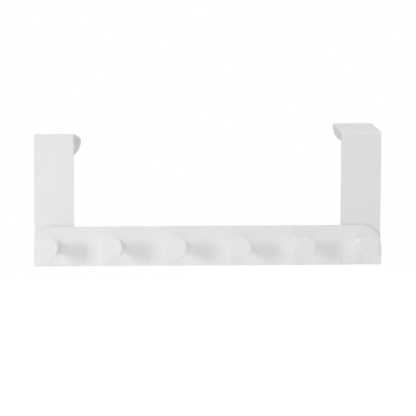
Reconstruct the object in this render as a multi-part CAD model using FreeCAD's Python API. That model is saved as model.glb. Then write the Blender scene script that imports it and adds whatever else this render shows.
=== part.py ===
"""Over door hook rack: one folded steel sheet with two door hooks, six knobs and their screws.

Millimetres. +X runs along the bar, +Z is up, and the front of the bar faces -Y.
The origin is on the door's top front edge, midway between the two hooks: the straps' rear faces lie in
the plane y = 0, and the underside of the left hook in the plane z = 0.
"""

import FreeCAD, Part
import math
import os

Vector = FreeCAD.Vector

# Sheet
SHEET = 1.5                 # thickness with its coating
BAR_LENGTH = 350.0
BAR_HEIGHT = 40.0
CORNER_RADIUS = 20.0        # the bar's two upper corners
STRAP_WIDTH = 40.0
HEM_GAP = 1.2               # air between the bar and the strap folded up behind it
HOOK_HEIGHT = 134.0         # from the bar's lower edge to the top of a hook
DOOR_GAP = 41.0             # clear depth of a hook, for a door of 40 mm
LIP_HEIGHT = 22.5           # from the top of a hook to the tip of its lip
BEND_RADIUS = 3.0           # inside radius of the hook's two bends
RELIEF_WIDTH = 0.5          # slot that parts each fold from the bar's straight lower edge
RELIEF_RISE = 0.5           # how far the slot runs on above the fold

# The right hook is sprung open: its strap leans forward and its top rises to the rear
SPRUNG_LEAN = 4.0           # degrees
SPRUNG_RISE = 20.0          # degrees
LEAN_START = 4.0            # height above the bar where the lean begins
LEAN_RADIUS = 60.0          # how gently it begins

# Knobs
KNOB_COUNT = 6
KNOB_INSET = 20.0           # from each end of the bar to the nearest knob
KNOB_LENGTH = 30.0
KNOB_FACE_RADIUS = 10.5
KNOB_BASE_RADIUS = 7.6
KNOB_WAIST_RADIUS = 5.6
KNOB_WAIST_DISTANCE = 11.5  # from the bar to the narrowest place
KNOB_RIM = 1.2              # straight edge around the face
KNOB_RIM_ROUND = 0.6
KNOB_BASE_ROUND = 0.4

# Screws
SCREW_RADIUS = 1.75
SCREW_LENGTH = 14.0         # under the head
SCREW_HEAD_RADIUS = 3.5
SCREW_HEAD_HEIGHT = 2.2
SCREW_HEAD_ROUND = 1.1
SCREW_TIP_RADIUS = 0.9
SCREW_TIP_LENGTH = 1.2
RECESS_SPAN = 3.6           # cross recess in the head, tip to tip
RECESS_WING = 0.9
RECESS_DEPTH = 1.2
THREAD_FIT = 0.05           # radial, between the shank and the knob's bore
HOLE_FIT = 0.25             # radial, between the shank and the bar's hole
HEAD_FIT = 1.5              # radial, around an end screw's head, inside the strap
BORE_SPARE = 1.5            # depth of the knob's bore past the screw's tip

# Levels and planes that follow from those sizes
BAR_REAR = -(SHEET + HEM_GAP)
BAR_FRONT = BAR_REAR - SHEET
BAR_BOTTOM = SHEET - HOOK_HEIGHT
BAR_TOP = BAR_BOTTOM + BAR_HEIGHT
FOLD_RADIUS = SHEET + HEM_GAP / 2           # outside radius of the fold at the foot of a strap
FOLD_LEVEL = BAR_BOTTOM + FOLD_RADIUS
KNOB_LEVEL = BAR_BOTTOM + BAR_HEIGHT / 2
KNOB_PITCH = (BAR_LENGTH - 2 * KNOB_INSET) / (KNOB_COUNT - 1)
BAR_END = BAR_LENGTH / 2
STRAP_INNER = BAR_END - STRAP_WIDTH         # x of the edge of a strap that faces the other one


def knob_positions():
    """The x of each knob, from left to right."""
    return [KNOB_INSET - BAR_END + KNOB_PITCH * i for i in range(KNOB_COUNT)]


def box(xs, ys, zs):
    """A block between two values on each axis, given in either order."""
    low = Vector(min(xs), min(ys), min(zs))
    high = Vector(max(xs), max(ys), max(zs))
    return Part.makeBox(*(high - low), low)


def rod(radius, x, ys, z):
    """A cylinder along Y."""
    return Part.makeCylinder(radius, max(ys) - min(ys), Vector(x, min(ys), z), Vector(0, 1, 0))


def face_of(edges):
    """The flat face inside a closed ring of edges."""
    return Part.Face(Part.Wire(Part.sortEdges(edges)[0]))


def heading(degrees):
    """Unit vector in the YZ plane, counted from +Z towards +Y."""
    angle = math.radians(degrees)
    return Vector(0, math.sin(angle), math.cos(angle))


def offset_corners(corners, distance):
    """The corners of a bent line beside the given one, on the side that faces -Y where it runs up."""
    runs = [(b - a).normalize() for a, b in zip(corners, corners[1:])]
    sides = [Vector(0, -run.z, run.y) for run in runs]
    moved = [corners[0] + sides[0] * distance]
    for corner, before, after in zip(corners[1:], sides, sides[1:]):
        moved.append(corner + (before + after) * (distance / (1 + before.dot(after))))
    moved.append(corners[-1] + sides[-1] * distance)
    return moved


def rounded_edges(corners, radii):
    """Straight runs joined by tangent arcs, with one radius for each inner corner."""
    edges = []
    start = corners[0]
    for before, corner, after, radius in zip(corners, corners[1:], corners[2:], radii):
        into = (corner - before).normalize()
        out = (after - corner).normalize()
        half_turn = into.getAngle(out) / 2
        first = corner - into * (radius * math.tan(half_turn))
        last = corner + out * (radius * math.tan(half_turn))
        middle = corner + (out - into).normalize() * (radius / math.cos(half_turn) - radius)
        edges.append(Part.LineSegment(start, first).toShape())
        edges.append(Part.Arc(first, middle, last).toShape())
        start = last
    edges.append(Part.LineSegment(start, corners[-1]).toShape())
    return edges


def hook_corners(lean, rise):
    """The sheet's door side as a bent line: up the strap, over the door and down the lip."""
    foot = Vector(0, 0, FOLD_LEVEL)
    knee = Vector(0, 0, BAR_TOP + LEAN_START)
    top = knee + heading(-lean) * -knee.z
    rear = top + heading(90 - rise) * DOOR_GAP
    tip = rear + heading(180 - rise) * (LIP_HEIGHT - SHEET)
    return [foot, knee, top, rear, tip] if lean else [foot, top, rear, tip]


def strap_section(door_side):
    """The sheet seen from its edge: the fold at the foot, the strap, the hook and the lip."""
    front_side = offset_corners(door_side, SHEET)
    knees = [LEAN_RADIUS] * (len(door_side) - 4)
    bends = [BEND_RADIUS] * 2
    foot_front = Vector(0, BAR_FRONT, FOLD_LEVEL)
    foot_rear = Vector(0, BAR_REAR, FOLD_LEVEL)
    fold_outside = Vector(0, BAR_FRONT / 2, FOLD_LEVEL - FOLD_RADIUS)
    fold_inside = Vector(0, BAR_FRONT / 2, FOLD_LEVEL - HEM_GAP / 2)
    edges = rounded_edges(door_side, knees + bends)
    edges += rounded_edges(front_side, [r - SHEET for r in knees] + [r + SHEET for r in bends])
    edges += [
        Part.LineSegment(door_side[-1], front_side[-1]).toShape(),
        Part.Arc(foot_front, fold_outside, door_side[0]).toShape(),
        Part.Arc(foot_rear, fold_inside, front_side[0]).toShape(),
        Part.LineSegment(foot_front, foot_rear).toShape(),
    ]
    return face_of(edges)


def lip_corners(rear, tip):
    """What is cut from a lip's square end to leave it round, across the whole bend behind it."""
    down = (tip - rear).normalize()
    across = Vector(0, down.z, -down.y)
    radius = STRAP_WIDTH / 2
    reach = BEND_RADIUS + 2 * SHEET
    start = tip - down * radius - across * reach
    end = tip + down - across * reach
    right = Vector(STRAP_WIDTH, 0, 0)
    square = Part.Face(Part.makePolygon([start, end, end + right, start + right, start]))
    block = square.extrude(across * (2 * reach))
    return block.cut(Part.makeCylinder(radius, 2 * reach, start + right / 2, across))


def strap(left_edge, lean, rise):
    """A whole strap, with its left edge at the given x."""
    door_side = hook_corners(lean, rise)
    solid = strap_section(door_side).extrude(Vector(STRAP_WIDTH, 0, 0))
    solid = solid.cut(lip_corners(door_side[-2], door_side[-1]))
    solid.translate(Vector(left_edge, 0, 0))
    return solid


def bar_plate():
    """The flat bar. Over each strap it stops where the fold begins."""
    thickness = (BAR_FRONT, BAR_REAR)
    plate = box((-BAR_END, BAR_END), thickness, (BAR_BOTTOM, BAR_TOP))
    corners = [e for e in plate.Edges if e.BoundBox.YLength > SHEET / 2 and e.BoundBox.ZMin > BAR_TOP - 0.01]
    plate = plate.makeFillet(CORNER_RADIUS, corners)
    for side in (-1, 1):
        plate = plate.cut(box((side * STRAP_INNER, side * BAR_END), thickness, (BAR_BOTTOM, FOLD_LEVEL)))
    return plate


def relief_slot(side):
    """The round-ended slot between a fold and the bar's straight lower edge."""
    thickness = (BAR_FRONT, BAR_REAR)
    top = FOLD_LEVEL + RELIEF_RISE
    slot = box((side * STRAP_INNER, side * (STRAP_INNER - RELIEF_WIDTH)), thickness, (BAR_BOTTOM, top))
    return slot.fuse(rod(RELIEF_WIDTH / 2, side * (STRAP_INNER - RELIEF_WIDTH / 2), thickness, top))


def rack_sheet():
    """The bar and both straps in one piece, with a hole for each screw."""
    sheet = bar_plate()
    sheet = sheet.fuse(strap(-BAR_END, 0.0, 0.0))
    sheet = sheet.fuse(strap(STRAP_INNER, SPRUNG_LEAN, SPRUNG_RISE))
    sheet = sheet.removeSplitter()
    for side in (-1, 1):
        sheet = sheet.cut(relief_slot(side))
    for x in knob_positions():
        sheet = sheet.cut(rod(SCREW_RADIUS + HOLE_FIT, x, (BAR_FRONT, BAR_REAR), KNOB_LEVEL))
        # The end screws go in through a strap, whose hole also takes their heads
        if abs(x) > STRAP_INNER:
            sheet = sheet.cut(rod(SCREW_HEAD_RADIUS + HEAD_FIT, x, (-SHEET, 0.0), KNOB_LEVEL))
    return sheet.Solids[0]


def rings_at(solid, y):
    """The round edges that lie in one plane across Y."""
    return [e for e in solid.Edges if e.BoundBox.YLength < 0.01 and abs(e.BoundBox.YMin - y) < 0.01]


def knob(x):
    """A flared knob, turned about Y, with a blind bore for its screw."""
    foot = Vector(KNOB_BASE_RADIUS, 0, 0)
    waist = Vector(KNOB_WAIST_RADIUS, -KNOB_WAIST_DISTANCE, 0)
    flare = Vector(KNOB_FACE_RADIUS, KNOB_RIM - KNOB_LENGTH, 0)
    rim = Vector(KNOB_FACE_RADIUS, -KNOB_LENGTH, 0)
    outline = Part.makePolygon([flare, rim, Vector(0, -KNOB_LENGTH, 0), Vector(0, 0, 0), foot])
    profile = face_of([Part.Arc(foot, waist, flare).toShape()] + outline.Edges)
    body = profile.revolve(Vector(0, 0, 0), Vector(0, 1, 0), 360)
    body = body.makeFillet(KNOB_RIM_ROUND, rings_at(body, -KNOB_LENGTH))
    body = body.makeFillet(KNOB_BASE_ROUND, rings_at(body, 0.0))
    depth = SCREW_LENGTH - SHEET + BORE_SPARE
    body = body.cut(rod(SCREW_RADIUS + THREAD_FIT, 0, (-depth, 0), 0))
    body.translate(Vector(x, BAR_FRONT, KNOB_LEVEL))
    return body.Solids[0]


def knob_screw(x):
    """A pan head screw with a cross recess. Its head bears on the bar's rear face."""
    shank = Part.Face(Part.makePolygon([
        Vector(0, 0, 0),
        Vector(SCREW_RADIUS, 0, 0),
        Vector(SCREW_RADIUS, SCREW_TIP_LENGTH - SCREW_LENGTH, 0),
        Vector(SCREW_TIP_RADIUS, -SCREW_LENGTH, 0),
        Vector(0, -SCREW_LENGTH, 0),
        Vector(0, 0, 0),
    ])).revolve(Vector(0, 0, 0), Vector(0, 1, 0), 360)
    head = rod(SCREW_HEAD_RADIUS, 0, (0, SCREW_HEAD_HEIGHT), 0)
    head = head.makeFillet(SCREW_HEAD_ROUND, rings_at(head, SCREW_HEAD_HEIGHT))
    body = head.fuse(shank)
    depth = (SCREW_HEAD_HEIGHT - RECESS_DEPTH, SCREW_HEAD_HEIGHT)
    span = (-RECESS_SPAN / 2, RECESS_SPAN / 2)
    wing = (-RECESS_WING / 2, RECESS_WING / 2)
    body = body.cut(box(span, depth, wing)).cut(box(wing, depth, span))
    body.translate(Vector(x, BAR_REAR, KNOB_LEVEL))
    return body.Solids[0]


def main():
    os.makedirs("parts", exist_ok=True)
    rack_sheet().exportStep("parts/rack_sheet.step")
    for number, x in enumerate(knob_positions(), start=1):
        knob(x).exportStep(f"parts/knob_{number}.step")
        knob_screw(x).exportStep(f"parts/knob_screw_{number}.step")


main()
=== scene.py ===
"""White over door hook rack: powder-coated folded steel, six moulded knobs and their screws.

Laid out as an add-on. Run as a script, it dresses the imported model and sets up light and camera.
"""

import math

import bmesh
import bpy
from bpy.props import FloatProperty, FloatVectorProperty, IntProperty, PointerProperty
from mathutils import Euler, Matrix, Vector


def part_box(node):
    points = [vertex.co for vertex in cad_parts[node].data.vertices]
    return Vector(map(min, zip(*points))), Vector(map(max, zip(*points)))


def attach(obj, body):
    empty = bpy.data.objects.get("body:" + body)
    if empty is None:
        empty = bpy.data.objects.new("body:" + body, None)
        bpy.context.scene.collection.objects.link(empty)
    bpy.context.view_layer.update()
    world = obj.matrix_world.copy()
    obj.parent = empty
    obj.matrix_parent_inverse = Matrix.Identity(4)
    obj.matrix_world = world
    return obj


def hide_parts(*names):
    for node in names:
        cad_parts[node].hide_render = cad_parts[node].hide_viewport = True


bl_info = {
    "name": "Over Door Hook Rack",
    "version": (1, 0, 0),
    "blender": (4, 5, 0),
    "location": "3D View > Sidebar > Door Rack",
    "description": "Dresses a folded steel over door rack with its knobs, screws, light and camera",
    "category": "Object",
}

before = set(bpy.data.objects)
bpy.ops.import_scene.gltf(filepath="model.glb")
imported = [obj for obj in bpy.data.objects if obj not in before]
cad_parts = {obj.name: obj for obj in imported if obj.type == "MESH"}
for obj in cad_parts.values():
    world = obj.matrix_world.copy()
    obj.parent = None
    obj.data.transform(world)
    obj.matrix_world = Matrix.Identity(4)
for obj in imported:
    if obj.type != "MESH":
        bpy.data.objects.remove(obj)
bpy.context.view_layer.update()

MM = 0.001
BODY = "root"

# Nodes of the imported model
SHEET = "rack_sheet"
KNOBS = sorted(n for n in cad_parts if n.startswith("knob_") and "screw" not in n)
SCREWS = sorted(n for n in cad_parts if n.startswith("knob_screw_"))

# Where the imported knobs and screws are, and how far apart
KNOB_LOW, KNOB_HIGH = (Vector(corner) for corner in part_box(KNOBS[0]))
SCREW_LOW, SCREW_HIGH = (Vector(corner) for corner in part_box(SCREWS[0]))
KNOB_STEP = Vector(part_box(KNOBS[1])[0]) - KNOB_LOW

# The photograph: image size and what was measured in it, in its own pixels
IMAGE = 416
PIXELS_PER_MM = 0.9926          # in the plane of the bar's front
VANISHING_X = 193.5             # where lines square to the bar meet
VANISHING_Y = 207.5
BAR_LEFT_X = 33.55              # left end of the bar
BAR_FOOT_Y = 265.6              # lower edge of the bar, below the vanishing point

# The camera that took it
ROLL = 0.34                     # degrees, right side up
CAMERA_DISTANCE = 0.650         # m, from the bar's front
SENSOR = 36.0                   # mm

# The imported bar, in metres
BAR_HALF = 0.175                # half its length
BAR_FOOT = -0.1325              # height of its lower edge
BAR_FRONT = -0.0042             # its front face, along Y

# How finely the round forms are made
KNOB_SIDES = 96
FLARE_STEPS = 28                # along the knob's hollow flank
SCREW_SIDES = 48
THREAD_ROWS = 96                # along the shank
CORNER_STEPS = 6                # in a rounded corner of an outline
EDGE_STEPS = 3                  # across a rounded edge of the sheet

# Angles between faces, in degrees: flat below the first, and sharp above the others
FLAT_BELOW = 0.5
SHEET_SHARP = 35.0
KNOB_SHARP = 40.0
SCREW_SHARP = 35.0

# Distances below which points are one
PACKED_MERGE = 0.002 * MM
CUT_MERGE = 0.0005 * MM
ON_AXIS = 0.0001 * MM

FLOOR_WHITE = 1.02              # a little over white, so that the floor shows as pure white


def linear(hex_colour):
    """An sRGB hex colour such as "#E9E9E9" as linear RGBA."""
    channels = [int(hex_colour[i:i + 2], 16) / 255 for i in (1, 3, 5)]
    return [c / 12.92 if c <= 0.04045 else ((c + 0.055) / 1.055) ** 2.4 for c in channels] + [1.0]


def add_node(tree, kind, settings=None, inputs=None):
    """One node with its settings and inputs. An input given as a socket is linked, and a value is set."""
    node = tree.nodes.new(kind)
    for key, value in (settings or {}).items():
        setattr(node, key, value)
    for key, value in (inputs or {}).items():
        if isinstance(value, bpy.types.NodeSocket):
            tree.links.new(value, node.inputs[key])
        else:
            node.inputs[key].default_value = value
    return node


def new_material(name):
    """An empty material and its node tree."""
    material = bpy.data.materials.new(name)
    material.use_nodes = True
    material.node_tree.nodes.clear()
    return material, material.node_tree


def finish_material(tree, shader):
    """Links a shader to the material's output."""
    add_node(tree, "ShaderNodeOutputMaterial", inputs={"Surface": shader.outputs[0]})


def powder_coat(settings):
    """White powder coat on steel: a thick satin skin that flows out into a faint orange peel."""
    material, tree = new_material("white_powder_coated_steel")
    place = add_node(tree, "ShaderNodeTexCoord").outputs["Object"]
    peel = add_node(tree, "ShaderNodeTexNoise", inputs={
        "Vector": place, "Scale": 1 / settings.peel_size, "Detail": 2.0, "Roughness": 0.4,
    })
    drift = add_node(tree, "ShaderNodeTexNoise", inputs={
        "Vector": place, "Scale": 1 / settings.drift_size, "Detail": 1.0,
    })
    sheen = add_node(tree, "ShaderNodeMapRange", inputs={
        "Value": drift.outputs["Fac"], "From Min": 0.3, "From Max": 0.7,
        "To Min": settings.roughness - settings.drift, "To Max": settings.roughness + settings.drift,
    })
    # The real peel is about 0.02 mm high. It is drawn higher, so that it just shows from close by.
    bump = add_node(tree, "ShaderNodeBump", inputs={
        "Height": peel.outputs["Fac"], "Strength": 1.0, "Distance": settings.peel_height,
    })
    coat = add_node(tree, "ShaderNodeBsdfPrincipled", inputs={
        "Base Color": settings.colour, "Roughness": sheen.outputs["Result"], "Normal": bump.outputs["Normal"],
        "IOR": 1.5,
    })
    finish_material(tree, coat)
    return material


def knob_plastic(settings):
    """White ABS from a spark-eroded mould: even and satin, a little glossier than the coat, with a fine grain."""
    material, tree = new_material("white_moulded_abs")
    place = add_node(tree, "ShaderNodeTexCoord").outputs["Object"]
    grain = add_node(tree, "ShaderNodeTexNoise", inputs={
        "Vector": place, "Scale": 1 / settings.grain_size, "Detail": 2.0,
    })
    bump = add_node(tree, "ShaderNodeBump", inputs={
        "Height": grain.outputs["Fac"], "Strength": 0.6, "Distance": settings.grain_height,
    })
    plastic = add_node(tree, "ShaderNodeBsdfPrincipled", inputs={
        "Base Color": settings.colour, "Roughness": settings.roughness, "Normal": bump.outputs["Normal"],
        "IOR": 1.53,
    })
    finish_material(tree, plastic)
    return material


def zinc_plate(settings):
    """Bright zinc on a cold-headed screw: metal, a little clouded by its passivation."""
    material, tree = new_material("zinc_plated_steel")
    place = add_node(tree, "ShaderNodeTexCoord").outputs["Object"]
    cloud = add_node(tree, "ShaderNodeTexNoise", inputs={
        "Vector": place, "Scale": 1 / settings.cloud_size, "Detail": 3.0,
    })
    haze = add_node(tree, "ShaderNodeMapRange", inputs={
        "Value": cloud.outputs["Fac"], "To Min": settings.bright, "To Max": settings.clouded,
    })
    metal = add_node(tree, "ShaderNodeBsdfPrincipled", inputs={
        "Base Color": settings.colour, "Metallic": 1.0, "Roughness": haze.outputs["Result"],
    })
    finish_material(tree, metal)
    return material


def set_material(obj, material):
    """Gives a mesh this one material."""
    obj.data.materials.clear()
    obj.data.materials.append(material)


def new_object(name, data):
    """A new object in the scene."""
    obj = bpy.data.objects.new(name, data)
    bpy.context.scene.collection.objects.link(obj)
    return obj


def mesh_object(name, shape):
    """A new mesh object from a bmesh, which is used up."""
    mesh = bpy.data.meshes.new(name)
    shape.to_mesh(mesh)
    shape.free()
    return new_object(name, mesh)


def merged_copy(node, name):
    """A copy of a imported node's mesh with its triangles joined and its flat faces made whole."""
    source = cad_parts[node]
    shape = bmesh.new()
    shape.from_mesh(source.data)
    bmesh.ops.remove_doubles(shape, verts=shape.verts, dist=PACKED_MERGE)
    bmesh.ops.dissolve_limit(shape, angle_limit=math.radians(FLAT_BELOW), verts=shape.verts, edges=shape.edges)
    return mesh_object(name, shape)


def soften(obj, width, segments, angle):
    """Rounds the edges that are sharper than an angle, and shades the mesh smooth."""
    bevel = obj.modifiers.new("edge_round", "BEVEL")
    bevel.width = width
    bevel.segments = segments
    bevel.limit_method = "ANGLE"
    bevel.angle_limit = math.radians(angle)
    bevel.use_clamp_overlap = True
    for face in obj.data.polygons:
        face.use_smooth = True
    normals = obj.modifiers.new("face_normals", "WEIGHTED_NORMAL")
    normals.keep_sharp = False
    bake(obj)


def bake(obj):
    """Turns an object with modifiers into a plain mesh."""
    depsgraph = bpy.context.evaluated_depsgraph_get()
    mesh = bpy.data.meshes.new_from_object(obj.evaluated_get(depsgraph))
    obj.modifiers.clear()
    old = obj.data
    obj.data = mesh
    bpy.data.meshes.remove(old)
    mesh.name = obj.name


def spun(arm, angle):
    """A flat vector turned by an angle."""
    c, s = math.cos(angle), math.sin(angle)
    return Vector((arm.x * c - arm.y * s, arm.x * s + arm.y * c))


def corner_arc(before, corner, after, radius, steps):
    """Points that round one corner of a flat outline."""
    into = (corner - before).normalized()
    out = (after - corner).normalized()
    half_turn = into.angle(out) / 2
    straight = half_turn < 1e-4
    if straight or radius <= 0:
        return [corner]
    start = corner - into * (radius * math.tan(half_turn))
    centre = corner + (out - into).normalized() * (radius / math.cos(half_turn))
    arm = start - centre
    turn = -into.angle_signed(out)
    return [centre + spun(arm, turn * i / steps) for i in range(steps + 1)]


def rounded_outline(points, rounds):
    """An open flat outline with some of its corners rounded. rounds gives the radius at a corner's number."""
    outline = [points[0]]
    for i in range(1, len(points) - 1):
        outline += corner_arc(points[i - 1], points[i], points[i + 1], rounds.get(i, 0.0), CORNER_STEPS)
    return outline + [points[-1]]


def arc_through(start, middle, end, steps):
    """Points along the circle's arc from start through middle to end."""
    a, b = (middle - start) * 2, (end - start) * 2
    p, q = middle.length_squared - start.length_squared, end.length_squared - start.length_squared
    span = a.x * b.y - a.y * b.x
    centre = Vector(((p * b.y - q * a.y) / span, (q * a.x - p * b.x) / span))
    arm, last = start - centre, end - centre
    turn = math.atan2(arm.x * last.y - arm.y * last.x, arm.dot(last))
    return [centre + spun(arm, turn * i / steps) for i in range(steps + 1)]


def turned(name, outline, segments, groove=None):
    """A closed solid turned about Y from an outline of (radius, y) that starts and ends on the axis.

    groove gives how far the surface lies back at a place along Y and an angle about it.
    """
    shape = bmesh.new()
    rings = []
    for radius, y in outline:
        if radius < ON_AXIS:
            rings.append([shape.verts.new((0.0, y, 0.0))])
            continue
        ring = []
        for i in range(segments):
            angle = 2 * math.pi * i / segments
            reach = radius - (groove(y, angle) if groove else 0.0)
            ring.append(shape.verts.new((reach * math.cos(angle), y, reach * math.sin(angle))))
        rings.append(ring)
    for near, far in zip(rings, rings[1:]):
        for i in range(segments):
            j = (i + 1) % segments
            corners = [near[i % len(near)], near[j % len(near)], far[j % len(far)], far[i % len(far)]]
            shape.faces.new(list(dict.fromkeys(corners)))
    bmesh.ops.recalc_face_normals(shape, faces=shape.faces)
    return mesh_object(name, shape)


def knob_outline(knob):
    """From the bottom of the screw's bore over foot, waist and flare to the middle of the face, in metres."""
    length = KNOB_HIGH.y - KNOB_LOW.y
    face = (KNOB_HIGH.x - KNOB_LOW.x) / 2
    bore = knob.bore
    foot = Vector((knob.foot, 0.0))
    waist = Vector((knob.waist, -knob.waist_distance))
    flare = Vector((face, knob.rim - length))
    points = [Vector((0.0, -knob.bore_depth)), Vector((bore, -knob.bore_depth)), Vector((bore, 0.0))]
    foot_corner = len(points)
    points += arc_through(foot, waist, flare, FLARE_STEPS)
    points += [Vector((face, -length)), Vector((0.0, -length))]
    return rounded_outline(points, {foot_corner: knob.foot_round, len(points) - 2: knob.rim_round})


def screw_outline(screw):
    """From the shank's tip over the thread and under the head to the middle of its dome, in metres."""
    shank, head = screw.shank, (SCREW_HIGH.x - SCREW_LOW.x) / 2
    height = screw.head_height
    length = SCREW_HIGH.y - SCREW_LOW.y - height
    rows = [Vector((shank, y)) for y in spaced(screw.tip_length - length, 0.0, THREAD_ROWS)]
    points = [Vector((0.0, -length)), Vector((screw.tip, -length)), *rows, Vector((head, 0.0))]
    points += [Vector((head, height)), Vector((0.0, height))]
    return rounded_outline(points, {len(points) - 2: screw.head_round})


def spaced(start, end, count):
    """Numbers from start to end in even steps."""
    return [start + (end - start) * i / count for i in range(count + 1)]


def thread_groove(screw):
    """How deep the thread is cut at a place along the shank and an angle about it. The head has none."""
    pitch, depth = screw.thread_pitch, screw.thread_depth
    flank = 1.0 - screw.thread_root

    def groove(y, angle):
        wave = (y / pitch + angle / (2 * math.pi)) % 1.0
        return depth * min(1.0, abs(2 * wave - 1) / flank) if y < -0.001 * MM else 0.0

    return groove


def cross_cutter(span, wing, depth, taper):
    """A cross-shaped punch, narrower at its tip, that hangs from y = 0 towards -Y."""
    shape = bmesh.new()
    rims = []
    overshoot = depth * 0.1     # stands out of the head, so that the cut is clean
    for y, scale in ((overshoot, 1.0), (-depth, taper)):
        a, b = span / 2 * scale, wing / 2 * scale
        quarter = [Vector((a, -b)), Vector((a, b)), Vector((b, b))]
        ring = [spun(point, math.pi / 2 * turn) for turn in range(4) for point in quarter]
        rims.append([shape.verts.new((point.x, y, point.y)) for point in ring])
    for rim in rims:
        shape.faces.new(rim[2::3])
        for i in range(0, 12, 3):
            shape.faces.new([rim[i - 1], rim[i], rim[i + 1], rim[i + 2]])
    for i in range(12):
        j = (i + 1) % 12
        shape.faces.new([rims[0][i], rims[0][j], rims[1][j], rims[1][i]])
    bmesh.ops.recalc_face_normals(shape, faces=shape.faces)
    return mesh_object("cross_cutter", shape)


def even_out(obj):
    """Parts the many-sided faces that a cut leaves into well-shaped triangles."""
    shape = bmesh.new()
    shape.from_mesh(obj.data)
    bmesh.ops.remove_doubles(shape, verts=shape.verts, dist=CUT_MERGE)
    many = [face for face in shape.faces if len(face.verts) > 4]
    bmesh.ops.triangulate(shape, faces=many, ngon_method="BEAUTY")
    shape.to_mesh(obj.data)
    shape.free()


def row_tree():
    """Geometry nodes that repeat a piece along a line, turn each copy by chance and give it its finish."""
    tree = bpy.data.node_groups.new("row_along_bar", "GeometryNodeTree")
    inputs = {
        "Geometry": "NodeSocketGeometry", "Count": "NodeSocketInt", "First": "NodeSocketVector",
        "Step": "NodeSocketVector", "Largest Turn": "NodeSocketFloat", "Seed": "NodeSocketInt",
        "Finish": "NodeSocketMaterial",
    }
    for name, kind in inputs.items():
        tree.interface.new_socket(name, in_out="INPUT", socket_type=kind)
    tree.interface.new_socket("Geometry", in_out="OUTPUT", socket_type="NodeSocketGeometry")
    given = add_node(tree, "NodeGroupInput").outputs
    line = add_node(tree, "GeometryNodeMeshLine", {"mode": "OFFSET"}, {
        "Count": given["Count"], "Start Location": given["First"], "Offset": given["Step"],
    })
    # Of the sockets of the same name, 2 and 3 are the lowest and the highest number, and 1 is what comes out
    chance = add_node(tree, "FunctionNodeRandomValue", {"data_type": "FLOAT"}, {
        2: 0.0, 3: given["Largest Turn"], "Seed": given["Seed"],
    })
    turn = add_node(tree, "ShaderNodeCombineXYZ", inputs={"Y": chance.outputs[1]})
    row = add_node(tree, "GeometryNodeInstanceOnPoints", inputs={
        "Points": line.outputs["Mesh"], "Instance": given["Geometry"], "Rotation": turn.outputs["Vector"],
    })
    real = add_node(tree, "GeometryNodeRealizeInstances", inputs={"Geometry": row.outputs["Instances"]})
    done = add_node(tree, "GeometryNodeSetMaterial", inputs={
        "Geometry": real.outputs["Geometry"], "Material": given["Finish"],
    })
    add_node(tree, "NodeGroupOutput", inputs={"Geometry": done.outputs["Geometry"]})
    return tree


def repeat_along_bar(obj, first, turn, seed, finish):
    """Bakes a whole row from the one piece that obj holds, with one copy for each knob."""
    tree = row_tree()
    values = {
        "Count": len(KNOBS), "First": first, "Step": KNOB_STEP, "Largest Turn": turn, "Seed": seed,
        "Finish": finish,
    }
    row = obj.modifiers.new("row", "NODES")
    row.node_group = tree
    for socket in tree.interface.items_tree:
        if socket.in_out == "INPUT" and socket.name in values:
            row[socket.identifier] = values[socket.name]
    bake(obj)


def smooth(obj, angle):
    """Shades a mesh smooth, up to an angle between its faces."""
    for face in obj.data.polygons:
        face.use_smooth = True
    obj.data.set_sharp_from_angle(angle=math.radians(angle))
    normals = obj.modifiers.new("face_normals", "WEIGHTED_NORMAL")
    normals.keep_sharp = True
    bake(obj)


class RackSheetSettings(bpy.types.PropertyGroup):
    edge_round: FloatProperty(name="Edge round", description="Radius of the coated edges", default=0.5 * MM,
                              unit="LENGTH")
    colour: FloatVectorProperty(name="Coat", description="Colour of the powder coat", subtype="COLOR", size=4,
                                min=0.0, max=1.0, default=linear("#F5F5F5"))
    roughness: FloatProperty(name="Roughness", description="Gloss of the coat", default=0.5, min=0.0, max=1.0,
                             subtype="FACTOR")
    peel_size: FloatProperty(name="Peel size", description="Width of the orange peel's bumps", default=2.0 * MM,
                             unit="LENGTH")
    peel_height: FloatProperty(name="Peel height", description="Height that the bumps are drawn with",
                               default=0.3 * MM, unit="LENGTH")
    drift: FloatProperty(name="Drift", description="How far the roughness strays to both sides", default=0.03,
                         min=0.0, max=0.5, subtype="FACTOR")
    drift_size: FloatProperty(name="Drift size", description="Width of the patches of gloss", default=40.0 * MM,
                              unit="LENGTH")


class KnobSettings(bpy.types.PropertyGroup):
    foot: FloatProperty(name="Foot", description="Radius where the knob meets the bar", default=7.6 * MM,
                        unit="LENGTH")
    foot_round: FloatProperty(name="Foot round", description="Radius of the foot's edge", default=0.4 * MM,
                              unit="LENGTH")
    waist: FloatProperty(name="Waist", description="Radius at the narrowest place", default=5.6 * MM, unit="LENGTH")
    waist_distance: FloatProperty(name="Waist distance", description="From the bar to the waist", default=11.5 * MM,
                                  unit="LENGTH")
    rim: FloatProperty(name="Rim", description="Straight edge around the face", default=1.2 * MM, unit="LENGTH")
    rim_round: FloatProperty(name="Rim round", description="Radius of the face's edge", default=0.6 * MM,
                             unit="LENGTH")
    bore: FloatProperty(name="Bore", description="Radius of the screw's bore", default=1.8 * MM, unit="LENGTH")
    bore_depth: FloatProperty(name="Bore depth", description="Depth of the screw's bore", default=14.0 * MM,
                              unit="LENGTH")
    colour: FloatVectorProperty(name="Plastic", description="Colour of the plastic", subtype="COLOR", size=4,
                                min=0.0, max=1.0, default=linear("#F5F5F5"))
    roughness: FloatProperty(name="Roughness", description="Gloss of the plastic", default=0.36, min=0.0, max=1.0,
                             subtype="FACTOR")
    grain_size: FloatProperty(name="Grain size", description="Width of the mould's grain", default=0.5 * MM,
                              unit="LENGTH")
    grain_height: FloatProperty(name="Grain height", description="Depth that the grain is drawn with",
                                default=0.06 * MM, unit="LENGTH")


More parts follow.
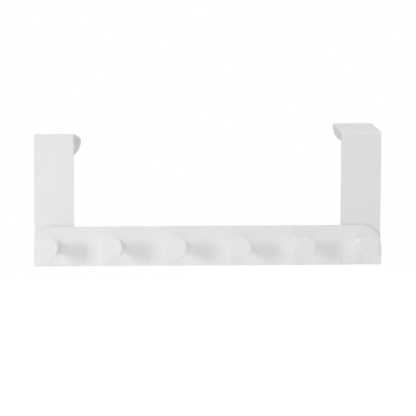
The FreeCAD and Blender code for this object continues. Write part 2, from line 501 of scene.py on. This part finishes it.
class ScrewSettings(bpy.types.PropertyGroup):
    shank: FloatProperty(name="Shank", description="Radius over the thread", default=1.75 * MM, unit="LENGTH")
    thread_depth: FloatProperty(name="Thread depth", description="Depth of the thread", default=0.4 * MM,
                                unit="LENGTH")
    thread_pitch: FloatProperty(name="Thread pitch", description="Rise of the thread in one turn", default=1.4 * MM,
                                unit="LENGTH")
    thread_root: FloatProperty(name="Thread root", description="Share of the pitch that is the thread's flat root",
                               default=0.375, min=0.0, max=0.9, subtype="FACTOR")
    tip: FloatProperty(name="Tip", description="Radius at the end of the shank", default=0.9 * MM, unit="LENGTH")
    tip_length: FloatProperty(name="Tip length", description="Length of the tapered tip", default=1.2 * MM,
                              unit="LENGTH")
    head_height: FloatProperty(name="Head height", description="Height of the head", default=2.2 * MM,
                               unit="LENGTH")
    head_round: FloatProperty(name="Head round", description="Radius of the head's upper edge", default=1.1 * MM,
                              unit="LENGTH")
    recess_span: FloatProperty(name="Recess span", description="Cross recess, tip to tip", default=3.6 * MM,
                               unit="LENGTH")
    recess_wing: FloatProperty(name="Recess wing", description="Width of a wing of the recess", default=0.9 * MM,
                               unit="LENGTH")
    recess_depth: FloatProperty(name="Recess depth", description="Depth of the recess", default=1.2 * MM,
                                unit="LENGTH")
    recess_taper: FloatProperty(name="Recess taper", description="Size of the recess at its floor, as a share",
                                default=0.7, min=0.1, max=1.0, subtype="FACTOR")
    largest_turn: FloatProperty(name="Largest turn", description="A quarter turn, after which the cross repeats",
                                default=math.pi / 2, subtype="ANGLE")
    turn_seed: IntProperty(name="Turn seed", description="Seed for how far each screw is turned", default=5)
    colour: FloatVectorProperty(name="Zinc", description="Colour of the zinc plate", subtype="COLOR", size=4,
                                min=0.0, max=1.0, default=linear("#C4C7C9"))
    bright: FloatProperty(name="Bright", description="Roughness where the zinc is brightest", default=0.24, min=0.0,
                          max=1.0, subtype="FACTOR")
    clouded: FloatProperty(name="Clouded", description="Roughness where the zinc is most clouded", default=0.42,
                           min=0.0, max=1.0, subtype="FACTOR")
    cloud_size: FloatProperty(name="Cloud size", description="Width of the clouds", default=1.2 * MM, unit="LENGTH")


class LightSettings(bpy.types.PropertyGroup):
    sky: FloatProperty(name="Sky", description="Strength of the even light all around", default=0.447, min=0.0, max=1.0,
                       subtype="FACTOR")
    key: FloatProperty(name="Key", description="Power of the lamp at the left", default=4.8, unit="POWER")
    key_size: FloatProperty(name="Key size", description="Width of the lamp at the left", default=0.42, unit="LENGTH")
    key_place: FloatVectorProperty(name="Key place", description="Where the lamp at the left stands",
                                   default=(-1.1, -1.04, 0.11), subtype="TRANSLATION")
    front: FloatProperty(name="Front", description="Power of the lamp behind the camera", default=1.05, unit="POWER")
    front_size: FloatProperty(name="Front size", description="Width of the lamp behind the camera", default=0.6,
                              unit="LENGTH")
    front_place: FloatVectorProperty(name="Front place", description="Where the lamp behind the camera stands",
                                     default=(-0.1, -1.5, -0.1), subtype="TRANSLATION")
    top: FloatProperty(name="Softbox", description="Power of the softbox above", default=7.5, unit="POWER")
    top_size: FloatProperty(name="Softbox size", description="Width of the softbox above", default=1.2, unit="LENGTH")
    top_place: FloatVectorProperty(name="Softbox place", description="Where the softbox above hangs",
                                   default=(0.1, -0.55, 1.6), subtype="TRANSLATION")
    strip: FloatProperty(name="Strip", description="Power of the strip lamp below", default=0.29, unit="POWER")
    strip_width: FloatProperty(name="Strip width", description="Width of the strip lamp", default=1.0, unit="LENGTH")
    strip_depth: FloatProperty(name="Strip depth", description="Depth of the strip lamp", default=0.2, unit="LENGTH")
    strip_place: FloatVectorProperty(name="Strip place", description="Where the strip lamp lies",
                                     default=(0.0, -0.25, -0.42), subtype="TRANSLATION")
    floor_level: FloatProperty(name="Floor level", description="Height of the floor", default=-0.45, unit="LENGTH")
    floor_size: FloatProperty(name="Floor size", description="Width of the floor", default=6.0, unit="LENGTH")
    floor_colour: FloatVectorProperty(name="Floor", description="Colour of the floor", subtype="COLOR", size=4,
                                      min=0.0, max=1.0, default=linear("#F2F2F2"))


class RACK_OT_sheet(bpy.types.Operator):
    """Dress the folded sheet: rounded coated edges and powder coat"""
    bl_idname = "door_rack.sheet"
    bl_label = "Folded sheet"

    def execute(self, context):
        settings = context.scene.rack_sheet
        sheet = merged_copy(SHEET, "folded_sheet")
        soften(sheet, settings.edge_round, EDGE_STEPS, SHEET_SHARP)
        set_material(sheet, powder_coat(settings))
        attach(sheet, BODY)
        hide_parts(SHEET)
        return {"FINISHED"}


class RACK_OT_knobs(bpy.types.Operator):
    """Turn one knob, repeat it along the bar and give the row its plastic"""
    bl_idname = "door_rack.knobs"
    bl_label = "Knobs"

    def execute(self, context):
        settings = context.scene.rack_knobs
        knobs = turned("knob_row", knob_outline(settings), KNOB_SIDES)
        centre = (KNOB_LOW + KNOB_HIGH) / 2
        repeat_along_bar(knobs, (centre.x, KNOB_HIGH.y, centre.z), 0.0, 0, knob_plastic(settings))
        smooth(knobs, KNOB_SHARP)
        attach(knobs, BODY)
        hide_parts(*KNOBS)
        return {"FINISHED"}


class RACK_OT_screws(bpy.types.Operator):
    """Turn one screw, thread it, punch its cross recess and repeat it along the bar"""
    bl_idname = "door_rack.screws"
    bl_label = "Screws"

    def execute(self, context):
        settings = context.scene.rack_screws
        screws = turned("screw_row", screw_outline(settings), SCREW_SIDES, thread_groove(settings))
        cutter = cross_cutter(settings.recess_span, settings.recess_wing, settings.recess_depth, settings.recess_taper)
        cutter.location.y = settings.head_height
        punch = screws.modifiers.new("recess", "BOOLEAN")
        punch.object = cutter
        punch.solver = "EXACT"
        bake(screws)
        bpy.data.objects.remove(cutter)
        even_out(screws)
        centre = (SCREW_LOW + SCREW_HIGH) / 2
        seat = SCREW_HIGH.y - settings.head_height
        repeat_along_bar(screws, (centre.x, seat, centre.z), settings.largest_turn, settings.turn_seed,
                         zinc_plate(settings))
        smooth(screws, SCREW_SHARP)
        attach(screws, BODY)
        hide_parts(*SCREWS)
        return {"FINISHED"}


def area_lamp(name, place, shape, power, width, depth=None):
    """A lamp that faces the bar's foot, and isn't seen itself."""
    lamp = bpy.data.lights.new(name, "AREA")
    lamp.shape = shape
    lamp.energy = power
    lamp.size = width
    lamp.size_y = depth or width
    obj = new_object(name, lamp)
    obj.location = place
    obj.rotation_euler = (Vector((0.0, 0.0, BAR_FOOT)) - Vector(place)).to_track_quat("-Z", "Y").to_euler()
    obj.visible_camera = False


def seen(tree):
    """1 for what the camera sees, straight on, in a reflection or through glass, and 0 for the light on the object."""
    path = add_node(tree, "ShaderNodeLightPath").outputs
    mirrored = add_node(tree, "ShaderNodeMath", {"operation": "MAXIMUM"}, {
        0: path["Is Glossy Ray"], 1: path["Is Transmission Ray"],
    })
    both = add_node(tree, "ShaderNodeMath", {"operation": "MAXIMUM"}, {
        0: path["Is Camera Ray"], 1: mirrored.outputs[0],
    })
    return both.outputs[0]


def white_world(strength):
    """Even light all around, which looks white itself."""
    world = bpy.data.worlds.new("studio")
    world.use_nodes = True
    tree = world.node_tree
    tree.nodes.clear()
    light = add_node(tree, "ShaderNodeBackground", inputs={"Color": (1, 1, 1, 1), "Strength": strength})
    white = add_node(tree, "ShaderNodeBackground", inputs={"Color": (1, 1, 1, 1), "Strength": 1.0})
    mix = add_node(tree, "ShaderNodeMixShader", inputs={0: seen(tree), 1: light.outputs[0], 2: white.outputs[0]})
    add_node(tree, "ShaderNodeOutputWorld", inputs={"Surface": mix.outputs[0]})
    bpy.context.scene.world = world


def pale_floor(settings):
    """Matt white board. It lights the object as a board does, and glows where it is seen, so that it shows white."""
    material, tree = new_material("white_board")
    colour = settings.floor_colour
    board = add_node(tree, "ShaderNodeBsdfDiffuse", inputs={"Color": colour})
    dark = add_node(tree, "ShaderNodeEmission", inputs={"Strength": 0.0})
    bright = add_node(tree, "ShaderNodeEmission", inputs={"Strength": FLOOR_WHITE - settings.sky * colour[0]})
    lift = add_node(tree, "ShaderNodeMixShader", inputs={0: seen(tree), 1: dark.outputs[0], 2: bright.outputs[0]})
    both = add_node(tree, "ShaderNodeAddShader", inputs={0: board.outputs[0], 1: lift.outputs[0]})
    finish_material(tree, both)
    return material


class RACK_OT_stage(bpy.types.Operator):
    """Set the pale floor, the lamps and the sky"""
    bl_idname = "door_rack.stage"
    bl_label = "Stage"

    def execute(self, context):
        settings = context.scene.rack_light
        mesh = bpy.data.meshes.new("floor")
        half, level = settings.floor_size / 2, settings.floor_level
        mesh.from_pydata([(-half, -half, level), (half, -half, level), (half, half, level), (-half, half, level)],
                         [], [(0, 1, 2, 3)])
        floor = new_object("floor", mesh)
        set_material(floor, pale_floor(settings))
        area_lamp("key", settings.key_place, "DISK", settings.key, settings.key_size)
        area_lamp("front", settings.front_place, "DISK", settings.front, settings.front_size)
        area_lamp("softbox", settings.top_place, "SQUARE", settings.top, settings.top_size)
        area_lamp("strip", settings.strip_place, "RECTANGLE", settings.strip, settings.strip_width,
                  settings.strip_depth)
        white_world(settings.sky)
        return {"FINISHED"}


class RACK_OT_camera(bpy.types.Operator):
    """Place the camera where the photograph was taken from"""
    bl_idname = "door_rack.camera"
    bl_label = "Camera"

    def execute(self, context):
        data = bpy.data.cameras.new("camera")
        data.sensor_width = SENSOR
        focal_pixels = PIXELS_PER_MM * CAMERA_DISTANCE / MM
        data.lens = focal_pixels / IMAGE * SENSOR
        data.shift_x = (IMAGE / 2 - VANISHING_X) / IMAGE
        data.shift_y = (VANISHING_Y - IMAGE / 2) / IMAGE
        camera = new_object("camera", data)
        camera.location = (
            -BAR_HALF + (VANISHING_X - BAR_LEFT_X) / PIXELS_PER_MM * MM,
            BAR_FRONT - CAMERA_DISTANCE,
            BAR_FOOT + (BAR_FOOT_Y - VANISHING_Y) / PIXELS_PER_MM * MM,
        )
        camera.rotation_euler = Euler((math.radians(90.0), math.radians(ROLL), 0.0))
        context.scene.camera = camera
        context.scene.view_settings.view_transform = "Standard"
        return {"FINISHED"}


class RACK_PT_panel(bpy.types.Panel):
    """The rack's steps, in order"""
    bl_idname = "RACK_PT_panel"
    bl_label = "Door Rack"
    bl_space_type = "VIEW_3D"
    bl_region_type = "UI"
    bl_category = "Door Rack"

    def draw(self, context):
        for step in STEPS:
            self.layout.operator(step.bl_idname)


STEPS = (RACK_OT_sheet, RACK_OT_knobs, RACK_OT_screws, RACK_OT_stage, RACK_OT_camera)
SETTINGS = {
    "rack_sheet": RackSheetSettings,
    "rack_knobs": KnobSettings,
    "rack_screws": ScrewSettings,
    "rack_light": LightSettings,
}


def register():
    for kind in (*SETTINGS.values(), *STEPS, RACK_PT_panel):
        bpy.utils.register_class(kind)
    for name, kind in SETTINGS.items():
        setattr(bpy.types.Scene, name, PointerProperty(type=kind))


def unregister():
    for name in SETTINGS:
        delattr(bpy.types.Scene, name)
    for kind in (RACK_PT_panel, *reversed(STEPS), *SETTINGS.values()):
        bpy.utils.unregister_class(kind)


def main():
    register()
    bpy.ops.door_rack.sheet()
    bpy.ops.door_rack.knobs()
    bpy.ops.door_rack.screws()
    bpy.ops.door_rack.stage()
    bpy.ops.door_rack.camera()


if __name__ == "__main__":
    main()
